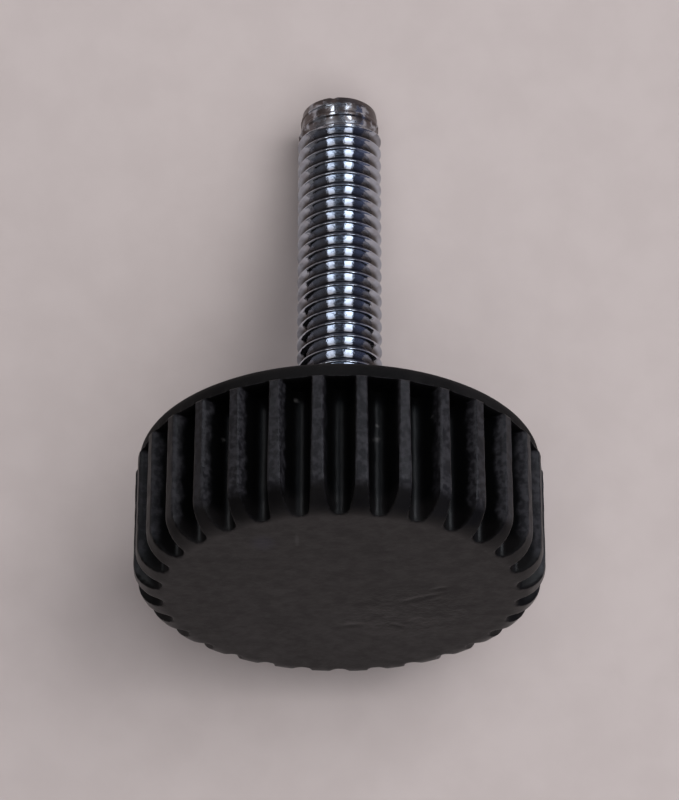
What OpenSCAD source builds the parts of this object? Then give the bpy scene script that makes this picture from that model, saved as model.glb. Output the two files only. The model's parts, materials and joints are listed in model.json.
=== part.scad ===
// Thumb screw: a fluted moulded head on an M6 hexagon bolt.
// It lies as it comes to rest, on the edge of the head and the tip of the bolt, with the tip towards +Y.
// The modules work along the bolt's axis: z = 0 is the flat on the stud side of the head, the tip is at +z.

/* [Head] */
// Diameter of the head over the ribs
head_d = 27.5; // [24:0.5:34]
// Thickness of the head from its outer face to the flat on the stud side
head_t = 10.4; // [9:0.1:14]
// Radius of the rounded edge between the ribs and the outer face
front_round = 2.1; // [1.2:0.1:3]
// Radius of the rounded edge of the rim on the stud side
rim_round = 0.8; // [0.4:0.1:1.1]
// Thickness of the smooth rim that closes the flutes on the stud side
rim_t = 1.2; // [1.2:0.1:2]
// Drop from the tops of the ribs to the rim
rim_drop = 0.25; // [0.1:0.05:0.5]

/* [Flutes] */
// Number of flutes round the head
flute_n = 30; // [22:2:36]
// Depth of a flute below the tops of the ribs
flute_depth = 1.95; // [1:0.05:2.1]
// Radius of the round bottom of a flute
flute_bottom_r = 0.55; // [0.3:0.05:0.9]
// Width of the flat top of a rib
rib_w = 0.8; // [0.5:0.05:1]

/* [Hub] */
// Diameter of the hub that seats on the clamped part
hub_d = 13; // [11:0.5:16]
// Height of the hub above the flat of the head
hub_h = 2.2; // [1:0.1:4]
// Chamfer on the edge of the hub
hub_chamfer = 0.4; // [0.2:0.1:0.8]
// Depth of the countersink in the hub round the bolt
mouth_depth = 0.4; // [0.2:0.1:0.8]

/* [Bolt] */
// Outside diameter of the rolled thread
thread_d = 5.9; // [4.9:0.1:7.9]
// Length of the stud that stands out of the hub
stud_l = 25; // [12:1:40]
// Diameter of the plain shank inside the moulding, where the thread was not rolled
shank_d = 5.35; // [4.3:0.05:7.2]
// Length of the chamfer at the tip, along the axis
tip_chamfer_l = 0.7; // [0.3:0.1:1.5]
// Width of the chamfer at the tip, across the radius
tip_chamfer_w = 0.5; // [0.2:0.1:1]
// Width across the flats of the hexagon inside the moulding
hex_w = 10; // [8:0.5:13]
// Height of the hexagon
hex_h = 4; // [3:0.5:5]
// Thickness of moulding between the flat of the head and the hexagon
hex_cover = 2.8; // [2:0.1:4]
// Gap between the bolt and the moulding round it
mould_gap = 0.02; // [0.01:0.01:0.05]

/* [Hidden] */
$fn = 96;
// Extra length that carries a cut clear through a surface
overcut = 1;
head_r = head_d / 2;
rim_r = head_r - rim_drop;
thread_r = thread_d / 2;
shank_r = shank_d / 2;
hub_r = hub_d / 2;
hex_middle = -hex_cover - hex_h / 2;
bore_r = shank_r + mould_gap;
mouth_r = max(thread_r, shank_r) + mould_gap;
thread_z = hub_h + mould_gap;
tip_z = hub_h + stud_l;
tip_corner_z = tip_z - tip_chamfer_l;
tip_r = thread_r - tip_chamfer_w;

// Flute outline, with its middle on +x: a round bottom and two walls that run from it to the ribs' edges
flute_turn = 360 / flute_n;
flute_centre = [head_r - flute_depth + flute_bottom_r, 0];
mouth_turn = flute_turn / 2 - asin(rib_w / head_d);
mouth = head_r * [cos(mouth_turn), sin(mouth_turn)];
mouth_reach = mouth - flute_centre;
wall_turn = atan2(mouth_reach.y, mouth_reach.x) + acos(flute_bottom_r / norm(mouth_reach));
wall_foot = flute_centre + flute_bottom_r * [cos(wall_turn), sin(wall_turn)];
wall_end = mouth + overcut * (mouth - wall_foot) / norm(mouth - wall_foot);

// Rest: the surface touches the corner behind the tip's chamfer and the head, where two ribs end or at the rim
rib_lean = atan2(mouth.x - thread_r, tip_corner_z + rim_t);
rim_reach = [tip_corner_z + rim_round, rim_r - rim_round - thread_r];
rim_lean = atan2(rim_reach.y, rim_reach.x) + asin(rim_round / norm(rim_reach));
lean = max(rib_lean, rim_lean);
rest_z = tip_corner_z * sin(lean) + thread_r * cos(lean);
far_y = max(tip_z * cos(lean) + tip_r * sin(lean), tip_corner_z * cos(lean) + thread_r * sin(lean));
near_y = -(head_t - front_round) * cos(lean) - (head_r - front_round) * sin(lean) - front_round;
rest_y = -(far_y + near_y) / 2;

function flip(point) = [point.x, -point.y];

module at_rest() {
    translate([0, rest_y, rest_z])
        rotate([-90 - lean, 0, 0])
            children();
}

module head_profile() {
    translate([0, -head_t])
        square([head_r - front_round, head_t]);
    translate([0, front_round - head_t])
        square([head_r, head_t - front_round - rim_t]);
    translate([0, -rim_t])
        square([rim_r, rim_t - rim_round]);
    translate([0, -rim_round])
        square([rim_r - rim_round, rim_round]);
    translate([head_r - front_round, front_round - head_t])
        circle(front_round);
    translate([rim_r - rim_round, -rim_round])
        circle(rim_round);
    polygon([
        [0, -rim_round],
        [hub_r, -rim_round],
        [hub_r, hub_h - hub_chamfer],
        [hub_r - hub_chamfer, hub_h],
        [0, hub_h],
    ]);
}

module bore_profile() {
    polygon([
        [0, hex_middle],
        [bore_r, hex_middle],
        [bore_r, hub_h - mouth_depth],
        [mouth_r, hub_h],
        [mouth_r, hub_h + overcut],
        [0, hub_h + overcut],
    ]);
}

module bolt_profile() {
    polygon([
        [0, hex_middle],
        [shank_r, hex_middle],
        [shank_r, thread_z],
        [thread_r, thread_z],
        [thread_r, tip_corner_z],
        [tip_r, tip_z],
        [0, tip_z],
    ]);
}

module flutes() {
    for (i = [0 : flute_n - 1])
        rotate(90 + i * flute_turn)
            translate([0, 0, -head_t - overcut])
                linear_extrude(head_t + overcut - rim_t) {
                    translate(flute_centre)
                        circle(flute_bottom_r);
                    polygon([wall_foot, wall_end, flip(wall_end), flip(wall_foot)]);
                }
}

// Hexagon head of the bolt, or with a gap the space that it takes up in the moulding
module hexagon(gap = 0) {
    translate([0, 0, hex_middle])
        cylinder(h = hex_h + 2 * gap, d = (hex_w + 2 * gap) / cos(30), center = true, $fn = 6);
}

module knob() {
    color([0.13, 0.13, 0.14])
        at_rest()
            difference() {
                rotate_extrude()
                    head_profile();
                flutes();
                hexagon(mould_gap);
                rotate_extrude()
                    bore_profile();
            }
}

module stud() {
    color([0.72, 0.75, 0.8])
        at_rest() {
            hexagon();
            rotate_extrude()
                bolt_profile();
        }
}

knob();
stud();
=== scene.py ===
"""Thumb screw: a fluted black moulding on a zinc plated bolt, lying on a pale surface."""

import json
import math

import bpy
import numpy as np
from mathutils import Matrix, Vector, noise


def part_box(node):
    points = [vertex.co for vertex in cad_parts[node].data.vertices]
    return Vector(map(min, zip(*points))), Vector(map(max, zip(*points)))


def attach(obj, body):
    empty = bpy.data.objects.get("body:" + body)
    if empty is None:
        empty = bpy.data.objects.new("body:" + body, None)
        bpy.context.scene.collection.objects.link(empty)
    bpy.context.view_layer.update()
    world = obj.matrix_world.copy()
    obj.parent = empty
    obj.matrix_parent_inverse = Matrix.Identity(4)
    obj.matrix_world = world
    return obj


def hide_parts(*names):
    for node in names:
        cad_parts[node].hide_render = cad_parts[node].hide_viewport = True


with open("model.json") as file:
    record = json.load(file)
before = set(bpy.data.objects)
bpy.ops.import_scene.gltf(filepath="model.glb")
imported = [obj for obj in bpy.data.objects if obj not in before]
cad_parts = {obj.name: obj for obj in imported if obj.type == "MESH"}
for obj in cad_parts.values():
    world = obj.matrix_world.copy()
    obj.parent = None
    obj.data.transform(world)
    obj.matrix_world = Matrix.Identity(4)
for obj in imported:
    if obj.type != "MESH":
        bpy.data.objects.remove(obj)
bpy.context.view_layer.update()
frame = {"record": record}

MM = 0.001

# Head, in millimetres. Along the axis 0 is the flat on the stud side, and the outer face is at -HEAD_T.
HEAD_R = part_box("knob")[1].x / MM
HEAD_T = 10.4
FRONT_ROUND = 2.1
RIM_ROUND = 0.8
RIM_T = 1.2
RIM_DROP = 0.25
RIM_R = HEAD_R - RIM_DROP
FACE_R = HEAD_R - FRONT_ROUND
FACE_Z = -HEAD_T
HUB_R = 6.5
HUB_H = 2.2
HUB_CHAMFER = 0.4

# Flutes, with ribs that widen towards the outer face and have soft edges and small lumps
FLUTE_N = 30
FLUTE_DEPTH = 1.95
FLUTE_BOTTOM_R = 0.62
FLUTE_END_DRAFT = 0.2
FLUTE_END_HOLD = 0.25
RIB_W_RIM = 0.7
RIB_W_FRONT = 0.86
RIB_EDGE = 0.24
RIB_LUMP = 0.05
RIB_LUMP_SIZE = 0.55
RIB_LUMP_SQUEEZE = 0.7

# Bolt
THREAD_R = 2.95
THREAD_PITCH = 1.0
THREAD_TURN = 0.50
FLANK_ANGLE = math.radians(30)
CREST_R = 2.93
CREST_HALF = 0.045
CREST_SOFT = 0.03
ROOT_R = 2.27
ROOT_SOFT = 0.06
MOUTH_DEPTH = 0.4
SHANK_R = 2.675
STUD_L = 25.0
STUD_LUMP = 0.008
STUD_LUMP_SIZE = 0.7
HEX_W = 10.0
HEX_H = 4.0
HEX_COVER = 2.8
MOULD_GAP = 0.02
TIP_Z = HUB_H + STUD_L
THREAD_Z = HUB_H + MOULD_GAP

# Worn tip: the thread is filled and rubbed off over its last part, which is longer on top
WORN_L = 1.5
WORN_EXTRA_ON_TOP = 1.0
WORN_FILL = 0.42
WORN_FILL_BEFORE = 0.3
WORN_FILL_AFTER = 0.15
WORN_R = 2.76
WORN_TAPER = 0.16
WORN_TAPER_L = 1.1
WORN_TAPER_PAST = 0.1
WORN_RISE = 0.4
WORN_RISE_L = 0.7
WORN_SOFT = 0.1
END_ROUND = 0.17
NICK_TURN = 1.5 * math.pi - 0.17
NICK_HALF_TURN = 0.06
NICK_L = 0.7
NICK_DEPTH = 0.16

# Fineness of the meshes
FLUTE_BOTTOM_POINTS = 6
FLUTE_WALL_POINTS = 6
RIB_SHARES = np.array([0.2, 0.45, 0.7, 1])
FRONT_ROWS = 16
WALL_ROWS = 34
FLUTE_END_ROWS = 9
RIM_ROWS = 10
HUB_THINNING = 7
FLAT_EDGE_STEP = 0.5
FLAT_STEP = 2
TINY_TURN = 1e-9
STUD_COLUMNS = 96
STUD_ROWS_PER_MM = 32
STUD_END_SHARES = (0.6, 0.25)
SHARP_ANGLE = math.radians(38)

# Bands of rings on the outer face: where each starts and ends as a share of its radius, rings and thinning
FACE_BANDS = (
    (0.02, 0.12, 6, 28),
    (0.12, 0.5, 30, 4),
    (0.5, 1, 44, 2),
)

# Dust in the flutes: place and size of each speck
DUST = (
    ((-7.52, -9.52, -3.8), 0.55),
    ((2.42, -11.54, -4.86), 0.75),
    ((2.43, -11.51, -3.85), 0.45),
    ((5.99, -11.52, -3.12), 0.5),
    ((-2.79, -11.55, -2.0), 0.6),
)

# Dents in the outer face: place, half length, half width, turn in degrees and depth
DENTS = (
    ((0.9, 4.7), 0.8, 0.3, -10, 0.05),
    ((3.8, 4.7), 0.6, 0.25, 30, 0.05),
    ((5.2, 0.6), 1.6, 0.22, -28, 0.06),
    ((6.6, -0.9), 0.5, 0.2, -25, 0.05),
)

# Marks on the outer face: place, half size and colour
SCRATCH = (-2.75, -8.1, FACE_Z), (0.2, 1.2, 0.5), (0.022, 0.021, 0.022, 1)
SMUDGE = (-4.95, -7.7, FACE_Z), (1.1, 1.5, 0.5), (0.007, 0.007, 0.014, 1)

# Rougher patch of the outer face: place and half size
PATCH = (4.8, 2.6, FACE_Z), (6.5, 5.5, 1.5)

# Moulding: colours, roughness and the height of its bumps in metres
BLACK_DARK = (0.0026, 0.0024, 0.0026, 1)
BLACK_LIGHT = (0.0058, 0.0054, 0.0057, 1)
# Painted shade: the colour put into the deep flutes to make them nearly black
FLUTE_SHADE = (0.0012, 0.0012, 0.0014, 1)
# Rib top colours: partly wear, partly painted light where the ribs face up towards the lamps
RIB_WORN_LIT_DARK = (0.009, 0.0088, 0.0106, 1)
RIB_WORN_LIT_LIGHT = (0.0255, 0.025, 0.0295, 1)
DUST_GREY = (0.075, 0.073, 0.076, 1)
BLACK_SPECULAR = 0.21
BLACK_ROUGH_LOW = 0.37
BLACK_ROUGH_HIGH = 0.47
RIB_ROUGH = 0.55
FRONT_ROUGH = 0.33
FLUTE_ROUGH = 0.42
RIM_ROUGH = 0.75
WAVE_HEIGHT = 0.00008
GRAIN_HEIGHT = 0.00001
# Tilt towards +X of the side where the rib tops are painted lighter as lit
LIT_SIDE_TILT = 0.18

# Plating: colours, roughness, the height of its bumps in metres and where the sides of the thread begin
ZINC_BRIGHT = (0.52, 0.56, 0.63, 1)
ZINC_CLOUDED = (0.42, 0.43, 0.47, 1)
# Painted shade: darker down the thread's flanks towards the roots
FLANK_SHADE = (0.24, 0.225, 0.22, 1)
# Painted shade on the sides of the bolt, as seen from above, near the roots
SIDE_SHADE = (0.10, 0.09, 0.085, 1)
# Painted shade in the thread's roots
ROOT_SHADE = (0.09, 0.09, 0.11, 1)
TIP_STAIN = (0.120, 0.100, 0.096, 1)
ZINC_ROUGH_LOW = 0.05
ZINC_ROUGH_HIGH = 0.09
STAIN_ROUGH = 0.34
PLATING_HEIGHT = 0.00002
# Where the painted shade on the bolt's sides begins and where it is full, across from its middle
SIDE_START = 1.5
SIDE_FULL = 2.3

# Floor and room, in metres
FLOOR_HALF = 2.0
FLOOR_DARK = (0.545, 0.488, 0.480, 1)
FLOOR_LIGHT = (0.570, 0.512, 0.504, 1)
FLOOR_ROUGH = 0.7
FLOOR_SPECULAR = 0.2
ROOM_LEFT = (1.0, 0.93, 0.95, 1)
ROOM_RIGHT = (0.75, 0.80, 1.15, 1)
ROOM_HORIZON = 0.18
ROOM_OVERHEAD = 0.07

# Lamps: name, azimuth and elevation, distance, width and height in metres, radiance, colour, seen in gloss
LAMPS = (
    ("key", 128, 54, 0.6, 0.36, 0.36, 2.7, (1.0, 0.98, 0.97), False),
    ("ceiling", 80, 72, 0.7, 1.0, 1.0, 1.65, (1.0, 0.98, 0.97), False),
    ("strip_left", 208, 33, 0.6, 0.21, 0.13, 3.0, (0.93, 0.96, 1.0), True),
    ("strip_right", 148, 31.5, 0.6, 0.225, 0.15, 4.6, (0.90, 0.95, 1.0), True),
    ("panel", 178, 48, 0.6, 0.5, 0.15, 0.5, (0.72, 0.86, 1.0), True),
)

# Camera, in metres, with its lens in millimetres
LENS = 183
CAMERA_AT = (0, -0.0373, 0.28557)
CAMERA_LOOK = (0, 0.1272, -0.9919)


def axis_frame():
    """Matrix from the bolt's axis, in millimetres, to the row frame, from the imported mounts."""
    mounts = {mount["name"]: mount for mount in frame["record"]["mounts"]}
    axis = Vector(mounts["stud_thread"]["axis"]).normalized()
    pin = Vector(mounts["stud_thread"]["pos_m"])
    seat = Vector(mounts["hub_seat"]["pos_m"])
    flat = pin + axis * ((seat - pin).dot(axis) - HUB_H * MM)
    side = Vector((1, 0, 0))
    down = axis.cross(side)
    turn = Matrix((side, down, axis)).transposed().to_4x4()
    return Matrix.Translation(flat) @ turn @ Matrix.Scale(MM, 4)


TO_ROW = axis_frame()


# Mesh helpers

def soft_min(a, b, width):
    """Smaller of two values, with the corner between them rounded over a width."""
    share = np.clip(0.5 + 0.5 * (b - a) / width, 0, 1)
    return b + (a - b) * share - width * share * (1 - share)


def smooth(x, low, high):
    """0 below low, 1 above high and a smooth rise between them."""
    share = np.clip((x - low) / (high - low), 0, 1)
    return share * share * (3 - 2 * share)


def ring(radius, angle, along):
    """Points of one ring round the axis."""
    return np.stack(np.broadcast_arrays(radius * np.cos(angle), radius * np.sin(angle), along), axis=1)


def centre(along):
    """Ring of a single point on the axis."""
    return np.array([[0.0, 0.0, along]])


def thin(points, ratio):
    """Every point in so many."""
    return points[::ratio]


def lumps(points, size):
    """Smooth noise from -1 to 1 at each point, with features of about that size in millimetres."""
    return np.array([noise.noise(Vector(point) / size) for point in points])


def hexagon(angle, width):
    """Radius of a hexagon of that width across its flats."""
    return width / 2 / np.cos(angle % (math.pi / 3) - math.pi / 6)


def bridge(a, first_a, b, first_b):
    """Faces between two neighbouring rings. One has as many points as the other, or a multiple."""
    if b > a:
        return [face[::-1] for face in bridge(b, first_b, a, first_a)]
    ratio = a // b
    faces = []
    for j in range(b):
        near = first_b + j
        far = first_b + (j + 1) % b
        run = [first_a + (j * ratio + k) % a for k in range(ratio + 1)]
        if ratio == 1:
            faces.append((run[0], run[1], far, near))
            continue
        middle = ratio // 2
        faces += [(run[k], run[k + 1], near) for k in range(middle)]
        faces += [(run[k], run[k + 1], far) for k in range(middle, ratio)]
        if b > 1:
            faces.append((near, run[middle], far))
    return faces


def skin(name, rings):
    """Closed mesh over rings that run from one end of the axis to the other, placed in the row frame."""
    faces = []
    first = 0
    for near, far in zip(rings, rings[1:]):
        faces += bridge(len(near), first, len(far), first + len(near))
        first += len(near)
    points = np.concatenate(rings)
    mesh = bpy.data.meshes.new(name)
    mesh.from_pydata(points.tolist(), [], faces)
    place = mesh.attributes.new("bolt_space", "FLOAT_VECTOR", "POINT")
    place.data.foreach_set("vector", points.astype(np.float32).ravel())
    mesh.transform(TO_ROW)
    mesh.update()
    mesh.shade_smooth()
    mesh.set_sharp_from_angle(angle=SHARP_ANGLE)
    piece = bpy.data.objects.new(name, mesh)
    bpy.context.scene.collection.objects.link(piece)
    return piece


# Head

def flute_section(rib_w):
    """Angles from a flute's middle to the middle of the next rib, and the flute's radius there."""
    half_turn = math.pi / FLUTE_N
    middle = HEAD_R - FLUTE_DEPTH + FLUTE_BOTTOM_R
    mouth_turn = half_turn - math.asin(rib_w / (2 * HEAD_R))
    mouth = np.array([HEAD_R * math.cos(mouth_turn), HEAD_R * math.sin(mouth_turn)])
    reach = mouth - (middle, 0)
    wall_turn = math.atan2(reach[1], reach[0]) + math.acos(FLUTE_BOTTOM_R / np.hypot(*reach))
    bottom_turn = math.pi - np.linspace(0, 1, FLUTE_BOTTOM_POINTS) * (math.pi - wall_turn)
    bottom_x = middle + FLUTE_BOTTOM_R * np.cos(bottom_turn)
    bottom_y = FLUTE_BOTTOM_R * np.sin(bottom_turn)
    bottom = np.stack([bottom_x, bottom_y], 1)
    foot = bottom[-1]
    wall = foot + np.linspace(0, 1, FLUTE_WALL_POINTS)[1:, None] * (mouth - foot)
    low = np.concatenate([bottom, wall])
    angle = np.arctan2(low[:, 1], low[:, 0])
    radius = np.hypot(low[:, 0], low[:, 1])
    rib_angle = mouth_turn + RIB_SHARES * (half_turn - mouth_turn)
    slope = (mouth - foot) / np.hypot(*(mouth - foot))
    across = mouth[0] * slope[1] - mouth[1] * slope[0]
    rib_radius = across / (np.cos(rib_angle) * slope[1] - np.sin(rib_angle) * slope[0])
    return np.concatenate([angle, rib_angle]), np.concatenate([radius, rib_radius])


def flute_round(rib_w):
    """Angle and flute radius all the way round the head, the first flute's middle at the top."""
    angle, radius = flute_section(rib_w)
    angle = np.concatenate([angle, 2 * math.pi / FLUTE_N - angle[-2:0:-1]])
    radius = np.concatenate([radius, radius[-2:0:-1]])
    turns = 2 * math.pi / FLUTE_N * np.arange(FLUTE_N)[:, None] - math.pi / 2
    return (turns + angle).ravel(), np.tile(radius, FLUTE_N)


def rib_width(along):
    """Width of the ribs' tops at one place along the axis."""
    share = np.clip((-along - RIM_T) / (HEAD_T - FRONT_ROUND - RIM_T), 0, 1)
    return RIB_W_RIM + (RIB_W_FRONT - RIB_W_RIM) * share


def fluted_ring(blank, along, cut=1.0):
    """Ring of the head at one place along the axis. cut is the share of the flutes' depth that is left."""
    angle, flute = flute_round(rib_width(along))
    radius = blank - cut * (blank - soft_min(flute, blank, RIB_EDGE))
    uneven = 0.5 + 0.5 * lumps(ring(radius, angle, along * RIB_LUMP_SQUEEZE), RIB_LUMP_SIZE)
    return ring(radius - cut * RIB_LUMP * uneven, angle, along)


def head_wall():
    """Rings of the fluted wall, from the edge of the outer face to the flat on the stud side."""
    rings = []
    for turn in np.linspace(0, math.pi / 2, FRONT_ROWS):
        blank = HEAD_R - FRONT_ROUND * (1 - math.sin(turn))
        rings.append(fluted_ring(blank, FACE_Z + FRONT_ROUND * (1 - math.cos(turn))))
    flute_end = -RIM_T - FLUTE_END_DRAFT
    for along in np.linspace(FACE_Z + FRONT_ROUND, flute_end, WALL_ROWS)[1:]:
        rings.append(fluted_ring(HEAD_R, along))
    for share in np.linspace(0, 1, FLUTE_END_ROWS)[1:]:
        blank = RIM_R + RIM_DROP * math.sqrt(1 - share**2)
        cut = 1 - smooth(share, FLUTE_END_HOLD, 1)
        rings.append(fluted_ring(blank, flute_end + FLUTE_END_DRAFT * share, cut))
    for turn in np.linspace(0, math.pi / 2, RIM_ROWS):
        blank = RIM_R - RIM_ROUND * (1 - math.cos(turn))
        rings.append(fluted_ring(blank, -RIM_ROUND * (1 - math.sin(turn)), 0))
    return rings


def dented(points):
    """Points of the outer face, pressed in at its dents."""
    points = np.array(points)
    for (x, y), half_length, half_width, turn, depth in DENTS:
        turn = math.radians(turn)
        across = points[:, :2] - (x, y)
        u = (across[:, 0] * math.cos(turn) + across[:, 1] * math.sin(turn)) / half_length
        v = (across[:, 1] * math.cos(turn) - across[:, 0] * math.sin(turn)) / half_width
        points[:, 2] += depth * np.exp(-(u**2 + v**2))
    return points


def face_rings(edge):
    """Rings of the outer face, from its middle to its edge, with fewer points towards the middle."""
    angle = np.arctan2(edge[:, 1], edge[:, 0])
    rings = [centre(FACE_Z)]
    for low, high, rows, ratio in FACE_BANDS:
        for share in np.linspace(low, high, rows, endpoint=False):
            rings.append(dented(ring(FACE_R * share, thin(angle, ratio), FACE_Z)))
    return rings


def hub_rings():
    """Rings of the flat, the hub and the space that the bolt takes up in the moulding."""
    angle = thin(flute_round(RIB_W_RIM)[0], HUB_THINNING)
    # The tiny turn keeps a corner that lies on a column on the same side of it in every run.
    hex_r = hexagon(angle + TINY_TURN, HEX_W + 2 * MOULD_GAP)
    flat_r = RIM_R - RIM_ROUND
    bore_r = SHANK_R + MOULD_GAP
    mouth_r = THREAD_R + MOULD_GAP
    hex_top = -HEX_COVER + MOULD_GAP
    hex_bottom = -HEX_COVER - HEX_H - MOULD_GAP
    path = [
        (flat_r - FLAT_EDGE_STEP, 0),
        (flat_r - FLAT_STEP, 0),
        (HUB_R + FLAT_STEP, 0),
        (HUB_R, 0),
        (HUB_R, HUB_H - HUB_CHAMFER),
        (HUB_R - HUB_CHAMFER, HUB_H),
        (HUB_R / 2 + mouth_r / 2, HUB_H),
        (mouth_r, HUB_H),
        (bore_r, HUB_H - MOUTH_DEPTH),
        (bore_r, hex_top),
        (hex_r, hex_top),
        (hex_r, hex_bottom),
        (bore_r, hex_bottom),
    ]
    return [ring(radius, angle, along) for radius, along in path] + [centre(hex_bottom)]


def make_knob():
    wall = head_wall()
    return skin("knob_moulding", face_rings(wall[0]) + wall + hub_rings())


# Bolt

def thread_radius(angle, along):
    """Radius of the bolt's right-hand thread, with its worn run-out and rounded end at the tip."""
    phase = (along / THREAD_PITCH - angle / (2 * math.pi) + THREAD_TURN) % 1
    off_crest = abs(phase - 0.5) * THREAD_PITCH
    flank = CREST_R - (off_crest - CREST_HALF) / math.tan(FLANK_ANGLE)
    worn = TIP_Z - WORN_L - WORN_EXTRA_ON_TOP * np.clip(-np.sin(angle), 0, 1)
    root = ROOT_R + WORN_FILL * smooth(along, worn - WORN_FILL_BEFORE, worn + WORN_FILL_AFTER)
    form = -soft_min(-soft_min(flank, CREST_R, CREST_SOFT), -root, ROOT_SOFT)
    cap = WORN_R - WORN_TAPER * smooth(along, TIP_Z - WORN_TAPER_L, TIP_Z + WORN_TAPER_PAST)
    cap = cap + WORN_RISE * (1 - smooth(along, worn - WORN_RISE_L, worn))
    end = np.clip((along - TIP_Z + END_ROUND) / END_ROUND, 0, 1)
    cap = cap - END_ROUND * (1 - np.sqrt(1 - end**2))
    nick = np.exp(-((angle - NICK_TURN) / NICK_HALF_TURN) ** 2) * smooth(along, TIP_Z - NICK_L, TIP_Z)
    return soft_min(form, cap, WORN_SOFT) - NICK_DEPTH * nick


def make_stud():
    angle = 2 * math.pi * np.arange(STUD_COLUMNS) / STUD_COLUMNS
    hex_r = hexagon(angle, HEX_W)
    hex_top = -HEX_COVER
    hex_bottom = -HEX_COVER - HEX_H
    path = [
        (SHANK_R, hex_bottom),
        (hex_r, hex_bottom),
        (hex_r, hex_top),
        (SHANK_R, hex_top),
        (SHANK_R, THREAD_Z),
    ]
    rings = [centre(hex_bottom)] + [ring(radius, angle, along) for radius, along in path]
    rows = int((TIP_Z - THREAD_Z) * STUD_ROWS_PER_MM)
    for along in np.linspace(THREAD_Z, TIP_Z, rows):
        form = thread_radius(angle, along)
        uneven = 1 + lumps(ring(form, angle, along), STUD_LUMP_SIZE)
        rings.append(ring(form - STUD_LUMP * uneven, angle, along))
    end = rings[-1]
    for share in STUD_END_SHARES:
        rings.append(end * (share, share, 1))
    rings.append(centre(TIP_Z))
    return skin("stud_bolt", rings)


# Materials

class Tree:
    """Node tree of a material or the world, with short calls for the nodes that they use."""

    def __init__(self, owner):
        owner.use_nodes = True
        self.tree = owner.node_tree

    def add(self, kind, **settings):
        node = self.tree.nodes.new(kind)
        for key, value in settings.items():
            setattr(node, key, value)
        return node

    def feed(self, socket, value):
        """Links a socket to another, or sets it to a constant."""
        if isinstance(value, bpy.types.NodeSocket):
            self.tree.links.new(value, socket)
        else:
            socket.default_value = value

    def place(self):
        """Place in the bolt's own space, in millimetres."""
        return self.add("ShaderNodeAttribute", attribute_name="bolt_space").outputs["Vector"]

    def part(self, vector, axis):
        node = self.add("ShaderNodeSeparateXYZ")
        self.feed(node.inputs[0], vector)
        return node.outputs[axis]

    def vector(self, operation, a, b=None):
        node = self.add("ShaderNodeVectorMath", operation=operation)
        self.feed(node.inputs[0], a)
        if b is not None:
            self.feed(node.inputs[1], b)
        return node.outputs

    def length(self, vector):
        return self.vector("LENGTH", vector)["Value"]

    def along(self, place):
        """Place along the bolt's axis."""
        return self.part(place, "Z")

    def across(self, place):
        """Distance to either side of the bolt's middle, as seen from above."""
        return self.calc("ABSOLUTE", self.part(place, "X"), 0.0)

    def radius(self, place):
        """Distance from the bolt's axis."""
        return self.length(self.vector("MULTIPLY", place, (1, 1, 0))["Vector"])

    def upward(self):
        """How far the surface faces up and a little to +X, where the ribs are painted lighter as if lit: 1
        at most.
        """
        lit_worn_side = (TO_ROW.col[0].xyz * LIT_SIDE_TILT - TO_ROW.col[1].xyz).normalized()
        normal = self.add("ShaderNodeNewGeometry").outputs["Normal"]
        return self.vector("DOT_PRODUCT", normal, lit_worn_side)["Value"]

    def near(self, place, spot, half, ragged=0.0):
        """1 at a spot, and 0 outside its half size on each axis. A ragged value eats into it."""
        away = self.vector("SUBTRACT", place, spot)["Vector"]
        share = self.vector("DIVIDE", away, half)["Vector"]
        return self.span(self.calc("ADD", self.length(share), ragged), 1.0, 0.2)

    def noise(self, vector, scale, detail=3.0, rough=0.55):
        node = self.add("ShaderNodeTexNoise")
        self.feed(node.inputs["Vector"], vector)
        node.inputs["Scale"].default_value = scale
        node.inputs["Detail"].default_value = detail
        node.inputs["Roughness"].default_value = rough
        return node.outputs["Fac"]

    def span(self, value, low, high, to_low=0.0, to_high=1.0):
        """Smooth change from to_low to to_high, while a value goes from low to high."""
        node = self.add("ShaderNodeMapRange", interpolation_type="SMOOTHSTEP")
        self.feed(node.inputs["Value"], value)
        self.feed(node.inputs["From Min"], low)
        self.feed(node.inputs["From Max"], high)
        self.feed(node.inputs["To Min"], to_low)
        self.feed(node.inputs["To Max"], to_high)
        return node.outputs["Result"]

    def blend(self, share, a, b):
        """First value where a share is 0, second where it is 1."""
        return self.span(share, 0, 1, a, b)

    def calc(self, operation, a, b):
        node = self.add("ShaderNodeMath", operation=operation)
        self.feed(node.inputs[0], a)
        self.feed(node.inputs[1], b)
        return node.outputs["Value"]

    def times(self, a, b):
        return self.calc("MULTIPLY", a, b)

    def mix(self, share, a, b):
        """First colour where a share is 0, second where it is 1."""
        node = self.add("ShaderNodeMix", data_type="RGBA")
        self.feed(node.inputs["Factor"], share)
        self.feed(node.inputs[6], a)
        self.feed(node.inputs[7], b)
        return node.outputs[2]

    def bump(self, height, distance, strength=1.0, normal=None):
        node = self.add("ShaderNodeBump")
        node.inputs["Distance"].default_value = distance
        node.inputs["Strength"].default_value = strength
        self.feed(node.inputs["Height"], height)
        if normal is not None:
            self.feed(node.inputs["Normal"], normal)
        return node.outputs["Normal"]


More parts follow.
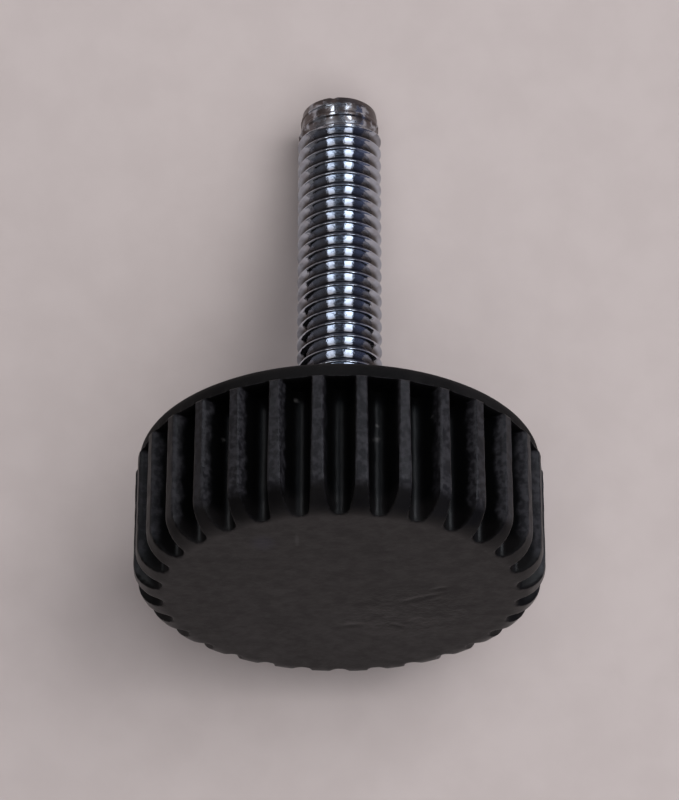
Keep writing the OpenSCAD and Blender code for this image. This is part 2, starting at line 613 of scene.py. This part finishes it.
def black_moulding():
    """Black moulding: flutes painted nearly black as shade, ribs paler where worn and painted lighter
    where they face the light, and a marked outer face.
    """
    material = bpy.data.materials.new("black_moulding")
    t = Tree(material)
    shader = t.tree.nodes["Principled BSDF"]
    place = t.place()
    along = t.along(place)
    radius = t.radius(place)

    # Where things are
    behind_face = t.span(along, FACE_Z + 1.0, FACE_Z + 1.9)
    before_rim = t.span(along, -RIM_T + 0.05, -RIM_T - 0.1)
    wall = t.times(behind_face, before_rim)
    ragged = t.times(t.noise(place, scale=0.9, detail=4), 1.1)
    high = t.span(t.calc("ADD", radius, ragged), HEAD_R - 0.35, HEAD_R + 0.15)
    # Rib tops: paler from wear, and painted light where they face up and a little to +X
    worn = t.times(t.times(wall, high), t.span(t.upward(), 0.25, 0.75))
    # Painted shade: the deep part of the flutes, coloured nearly black and given its own roughness
    deep_flute_shade = t.times(wall, t.span(radius, HEAD_R - 0.2, HEAD_R - 0.6))
    front_start = t.span(along, FACE_Z + 0.1, FACE_Z + 0.5)
    front_end = t.span(along, FACE_Z + 2.4, FACE_Z + 1.6)
    front = t.times(front_start, front_end)
    rim = t.span(along, -RIM_T - 0.1, -RIM_T + 0.1)

    # Colour
    blotch = t.span(t.noise(place, scale=0.25, detail=4), 0.35, 0.65)
    speck = t.span(t.noise(place, scale=2.6, detail=4), 0.40, 0.64)
    colour = t.mix(blotch, BLACK_DARK, BLACK_LIGHT)
    # Painted shade in the deep flutes
    colour = t.mix(deep_flute_shade, colour, FLUTE_SHADE)
    # Painted light and wear on the rib tops
    colour = t.mix(worn, colour, t.mix(speck, RIB_WORN_LIT_DARK, RIB_WORN_LIT_LIGHT))
    for spot, half, tone in (SCRATCH, SMUDGE):
        colour = t.mix(t.near(place, spot, half), colour, tone)
    eaten = t.times(t.noise(place, scale=3.2, detail=3), 1.1)
    for spot, size in DUST:
        colour = t.mix(t.near(place, spot, (size, size, size), eaten), colour, DUST_GREY)
    t.feed(shader.inputs["Base Color"], colour)

    # Gloss
    matt = t.span(t.noise(place, scale=1.2, detail=5), 0.3, 0.7, BLACK_ROUGH_LOW, BLACK_ROUGH_HIGH)
    matt = t.blend(t.times(speck, worn), matt, RIB_ROUGH)
    matt = t.blend(front, matt, FRONT_ROUGH)
    matt = t.blend(deep_flute_shade, matt, FLUTE_ROUGH)
    t.feed(shader.inputs["Roughness"], t.blend(rim, matt, RIM_ROUGH))
    shader.inputs["Specular IOR Level"].default_value = BLACK_SPECULAR

    # Low waves, stronger in the rough patch, and a fine grain
    rough = t.blend(t.near(place, *PATCH), 0.5, 1.9)
    waves = t.bump(t.times(t.noise(place, scale=0.75, detail=4), rough), WAVE_HEIGHT, 0.7)
    grain = t.bump(t.noise(place, scale=4.0, detail=3), GRAIN_HEIGHT, 0.25, waves)
    t.feed(shader.inputs["Normal"], grain)
    return material


def zinc_steel():
    """Bright zinc plating, with painted shade down the flanks, on the sides and in the thread's roots, and
    stained at the tip.
    """
    material = bpy.data.materials.new("zinc_steel")
    t = Tree(material)
    shader = t.tree.nodes["Principled BSDF"]
    place = t.place()
    radius = t.radius(place)
    cloud = t.noise(place, scale=1.1, detail=4)

    # Colour
    colour = t.mix(t.span(cloud, 0.4, 0.7), ZINC_BRIGHT, ZINC_CLOUDED)
    # Painted shade: darker from the crest down towards the root
    colour = t.mix(t.span(radius, CREST_R - 0.2, ROOT_R - 0.1), colour, FLANK_SHADE)
    # Painted shade: darker low on the flanks on the bolt's sides, as seen from above
    sides = t.span(t.across(place), SIDE_START, SIDE_FULL)
    side_shade = t.times(sides, t.span(radius, ROOT_R + 0.5, ROOT_R + 0.2))
    colour = t.mix(side_shade, colour, SIDE_SHADE)
    # Painted shade: the roots are coloured dark and also made rougher
    root = t.span(radius, ROOT_R + 0.09, ROOT_R + 0.02)
    colour = t.mix(root, colour, ROOT_SHADE)
    dull = t.span(t.noise(place, scale=1.5, detail=5), 0.34, 0.52)
    stain = t.times(t.span(t.along(place), TIP_Z - 3.2, TIP_Z - 1.6), dull)
    colour = t.mix(stain, colour, TIP_STAIN)
    t.feed(shader.inputs["Base Color"], colour)

    # Gloss
    shader.inputs["Metallic"].default_value = 1.0
    bright = t.span(cloud, 0.3, 0.75, ZINC_ROUGH_LOW, ZINC_ROUGH_HIGH)
    t.feed(shader.inputs["Roughness"], t.blend(t.calc("MAXIMUM", stain, root), bright, STAIN_ROUGH))
    t.feed(shader.inputs["Normal"], t.bump(t.noise(place, scale=4.0, detail=3), PLATING_HEIGHT, 0.4))
    return material


def pale_floor():
    material = bpy.data.materials.new("pale_floor")
    t = Tree(material)
    shader = t.tree.nodes["Principled BSDF"]
    place = t.add("ShaderNodeTexCoord").outputs["Object"]
    tone = t.span(t.noise(place, scale=260, detail=3), 0.3, 0.7)
    t.feed(shader.inputs["Base Color"], t.mix(tone, FLOOR_DARK, FLOOR_LIGHT))
    shader.inputs["Roughness"].default_value = FLOOR_ROUGH
    shader.inputs["Specular IOR Level"].default_value = FLOOR_SPECULAR
    return material


def dress(piece, node, material):
    """Shows a piece with its material in place of a CAD node."""
    piece.data.materials.append(material)
    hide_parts(node)
    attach(piece, "root")


# Stage, light and camera

def make_floor():
    corners = [(x * FLOOR_HALF, y * FLOOR_HALF, 0) for x, y in ((-1, -1), (1, -1), (1, 1), (-1, 1))]
    mesh = bpy.data.meshes.new("floor")
    mesh.from_pydata(corners, [], [(0, 1, 2, 3)])
    floor = bpy.data.objects.new("floor", mesh)
    mesh.materials.append(pale_floor())
    bpy.context.scene.collection.objects.link(floor)


def area_light(name, azimuth, elevation, distance, width, height, radiance, colour, mirrored):
    """Lamp that faces the screw and is either seen in its gloss or lights what is matt.

    Azimuth 0 is at -Y, on the viewer's side, and 90 is at +X. Both angles are in degrees.
    """
    turn = math.radians(azimuth)
    lift = math.radians(elevation)
    towards = Vector((math.sin(turn) * math.cos(lift), -math.cos(turn) * math.cos(lift), math.sin(lift)))
    data = bpy.data.lights.new(name, "AREA")
    data.shape = "RECTANGLE"
    data.size = width
    data.size_y = height
    data.energy = radiance * math.pi * width * height
    data.color = colour
    lamp = bpy.data.objects.new(name, data)
    lamp.visible_glossy = mirrored
    lamp.visible_diffuse = not mirrored
    lamp.location = towards * distance
    lamp.rotation_euler = (-towards).to_track_quat("-Z", "Y").to_euler()
    bpy.context.scene.collection.objects.link(lamp)


def make_room():
    """Dim room round the lamps, lighter near the horizon than overhead, and bluish towards +X."""
    world = bpy.data.worlds.new("room")
    t = Tree(world)
    background = t.tree.nodes["Background"]
    towards = t.add("ShaderNodeTexCoord").outputs["Generated"]
    tint = t.mix(t.span(t.part(towards, "X"), -0.4, 0.6), ROOM_LEFT, ROOM_RIGHT)
    t.feed(background.inputs["Color"], tint)
    strength = t.span(t.part(towards, "Z"), 0.0, 1.0, ROOM_HORIZON, ROOM_OVERHEAD)
    t.feed(background.inputs["Strength"], strength)
    bpy.context.scene.world = world


def make_light():
    make_room()
    for lamp in LAMPS:
        area_light(*lamp)


def make_camera():
    """Camera nearly overhead, where the photograph was taken from."""
    data = bpy.data.cameras.new("camera")
    data.lens = LENS
    camera = bpy.data.objects.new("camera", data)
    camera.location = CAMERA_AT
    camera.rotation_euler = Vector(CAMERA_LOOK).to_track_quat("-Z", "Y").to_euler()
    bpy.context.scene.collection.objects.link(camera)
    bpy.context.scene.camera = camera


dress(make_knob(), "knob", black_moulding())
dress(make_stud(), "stud", zinc_steel())
make_floor()
make_light()
make_camera()
bpy.context.scene.view_settings.view_transform = "Standard"
